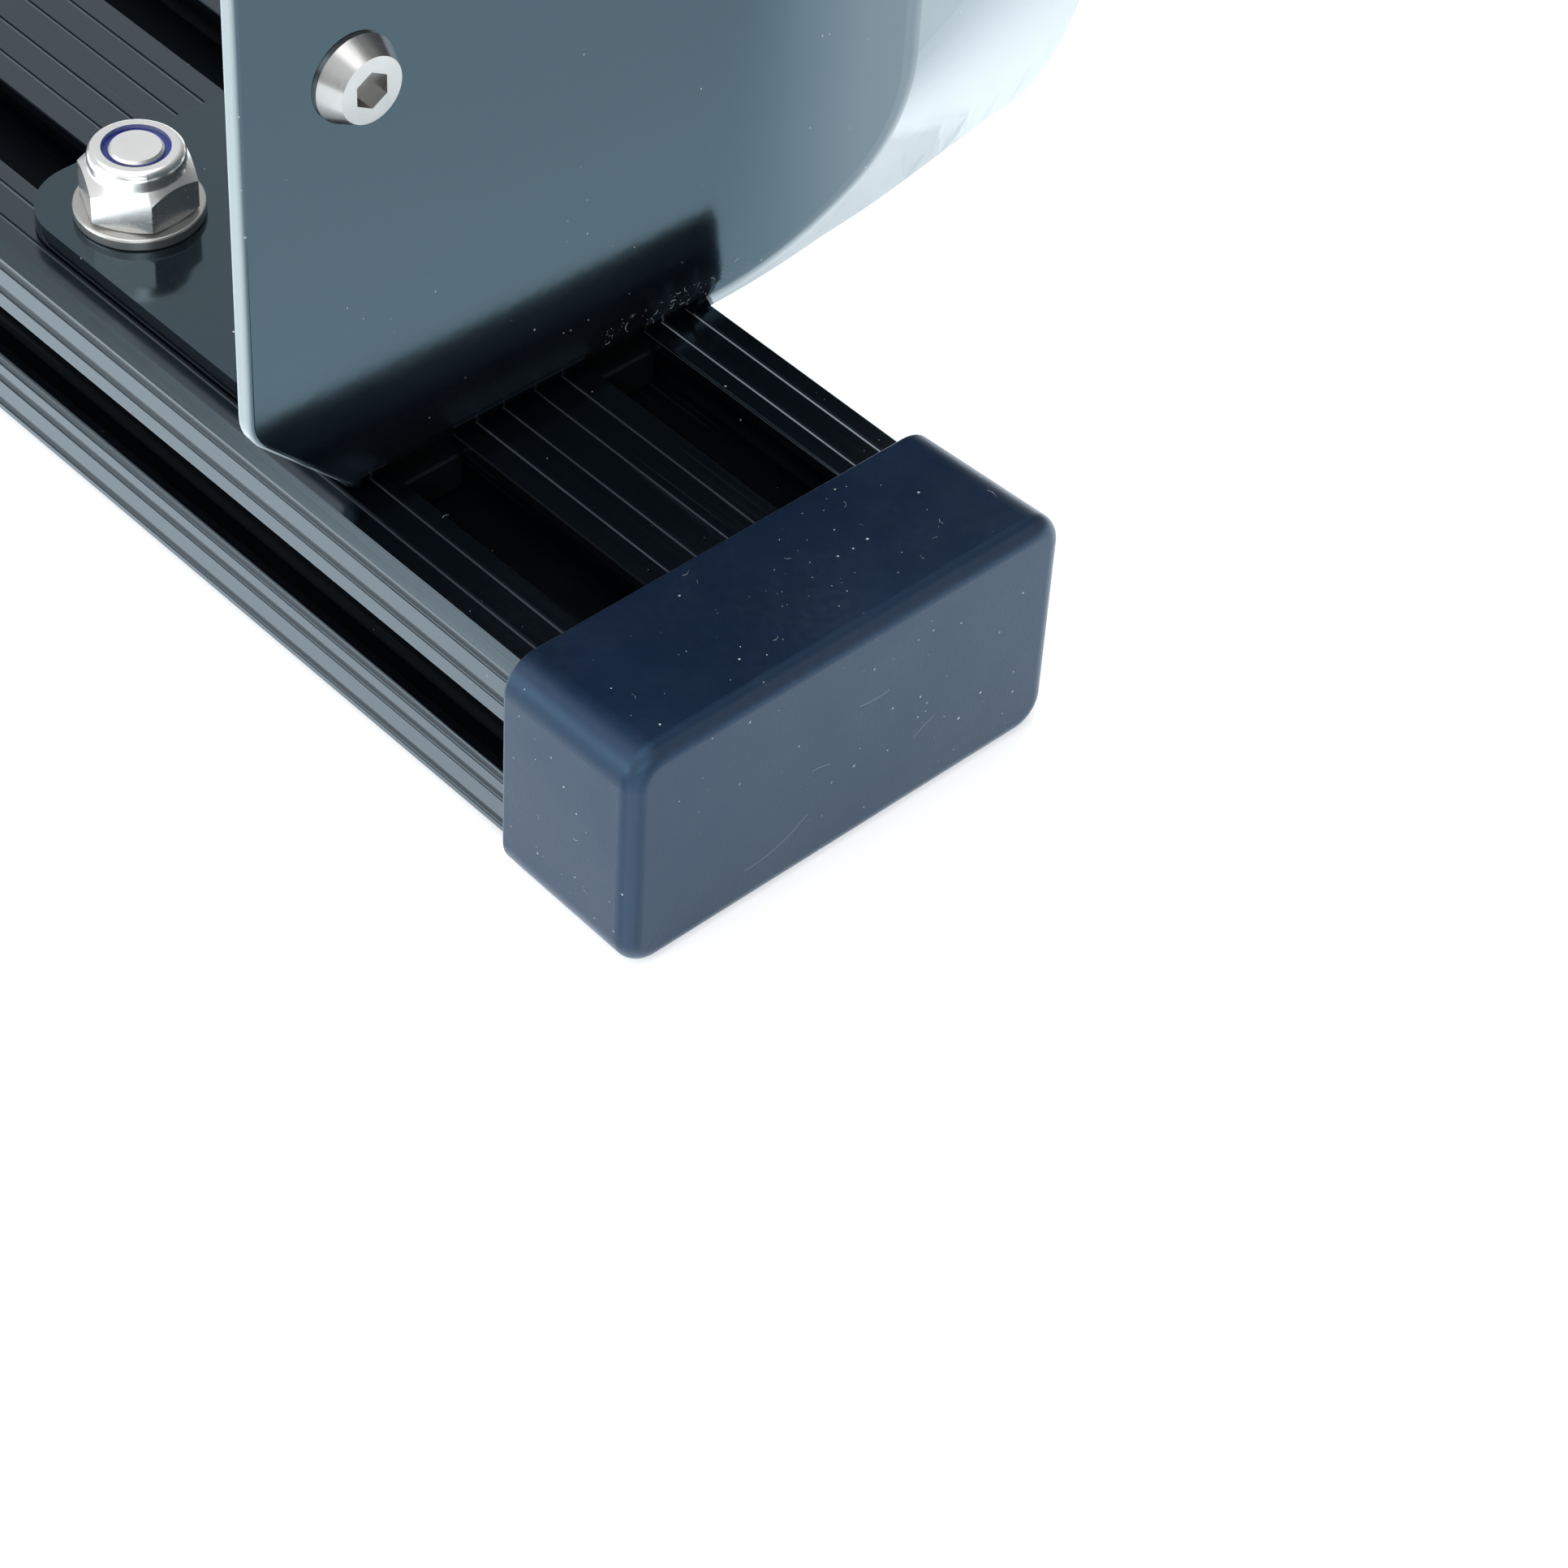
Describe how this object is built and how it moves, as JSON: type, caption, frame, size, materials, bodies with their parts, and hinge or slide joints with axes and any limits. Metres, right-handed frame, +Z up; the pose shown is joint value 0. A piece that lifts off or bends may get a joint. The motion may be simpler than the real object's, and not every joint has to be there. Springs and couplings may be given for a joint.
{
  "type": "roof rack crossbar",
  "caption": "Flat slotted aluminium roof rack crossbar with rubber end caps and bent steel foot brackets that slide along its top slots.",
  "frame": {"origin": "on the floor under the middle of the bar, which lies on its two end caps", "axes": "+X along the bar, +Y across it, +Z up out of the slotted top face"},
  "size_m": [1.156, 0.224, 0.1141],
  "materials": {
    "bar": "dark anodised, satin",
    "cap": "matt",
    "bracket": "glossy powder coat",
    "fastener": "bright stainless",
    "nylon": "plain"
  },
  "bodies": {
    "bar": {"crossbar": "bar", "end_cap_right": "cap", "end_cap_left": "cap"},
    "foot_right": {"foot_bracket_right": "bracket", "slot_bolt_right_1": "fastener", "foot_washer_right_1": "fastener", "lock_nut_right_1": "fastener", "lock_nut_insert_right_1": "nylon", "slot_bolt_right_2": "fastener", "foot_washer_right_2": "fastener", "lock_nut_right_2": "fastener", "lock_nut_insert_right_2": "nylon", "slot_bolt_right_3": "fastener", "foot_washer_right_3": "fastener", "lock_nut_right_3": "fastener", "lock_nut_insert_right_3": "nylon", "slot_bolt_right_4": "fastener", "foot_washer_right_4": "fastener", "lock_nut_right_4": "fastener", "lock_nut_insert_right_4": "nylon", "leg_screw_right_1": "fastener", "leg_washer_right_1": "fastener", "leg_nut_right_1": "fastener", "leg_nut_insert_right_1": "nylon", "leg_screw_right_2": "fastener", "leg_washer_right_2": "fastener", "leg_nut_right_2": "fastener", "leg_nut_insert_right_2": "nylon"},
    "foot_left": {"foot_bracket_left": "bracket", "slot_bolt_left_1": "fastener", "foot_washer_left_1": "fastener", "lock_nut_left_1": "fastener", "lock_nut_insert_left_1": "nylon", "slot_bolt_left_2": "fastener", "foot_washer_left_2": "fastener", "lock_nut_left_2": "fastener", "lock_nut_insert_left_2": "nylon", "slot_bolt_left_3": "fastener", "foot_washer_left_3": "fastener", "lock_nut_left_3": "fastener", "lock_nut_insert_left_3": "nylon", "slot_bolt_left_4": "fastener", "foot_washer_left_4": "fastener", "lock_nut_left_4": "fastener", "lock_nut_insert_left_4": "nylon", "leg_screw_left_1": "fastener", "leg_washer_left_1": "fastener", "leg_nut_left_1": "fastener", "leg_nut_insert_left_1": "nylon", "leg_screw_left_2": "fastener", "leg_washer_left_2": "fastener", "leg_nut_left_2": "fastener", "leg_nut_insert_left_2": "nylon"}
  },
  "joints": [
    {"name": "foot_right_slide", "type": "slide", "parent": "bar", "child": "foot_right", "axis": [1, 0, 0], "range_m": [-0.44, 0.03]},
    {"name": "foot_left_slide", "type": "slide", "parent": "bar", "child": "foot_left", "axis": [-1, 0, 0], "range_m": [-0.44, 0.03]}
  ]
}
